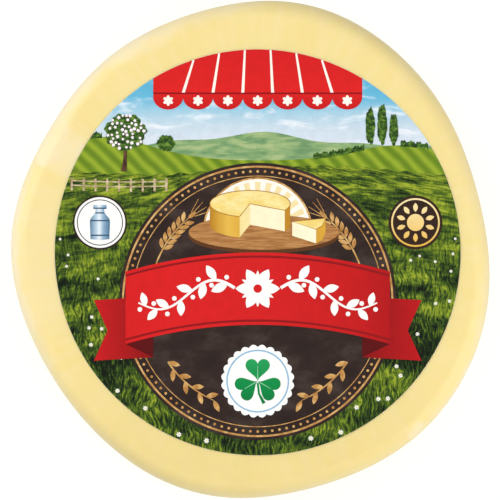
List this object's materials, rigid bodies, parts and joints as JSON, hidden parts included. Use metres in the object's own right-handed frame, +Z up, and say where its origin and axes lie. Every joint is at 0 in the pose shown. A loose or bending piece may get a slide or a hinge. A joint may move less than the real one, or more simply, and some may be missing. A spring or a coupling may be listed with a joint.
{
  "type": "shrink-wrapped provolone cheese slice",
  "caption": "Thick round slice of pale yellow cheese with an uneven outline and soft edges, shrink-wrapped in clear film, with a large round printed label on its face.",
  "frame": {"origin": "on the underside, at the middle of the slice's length and width", "axes": "+Z up through the slice's thickness to the labelled face, +Y along the slice's longer width and towards the top of the label, +X to the label's right"},
  "size_m": [0.1126, 0.117, 0.0213],
  "materials": {
    "wrapped_cheese": "satin",
    "label": "satin"
  },
  "bodies": {
    "root": {"wrapped_cheese": "wrapped_cheese", "label": "label"}
  },
  "joints": []
}
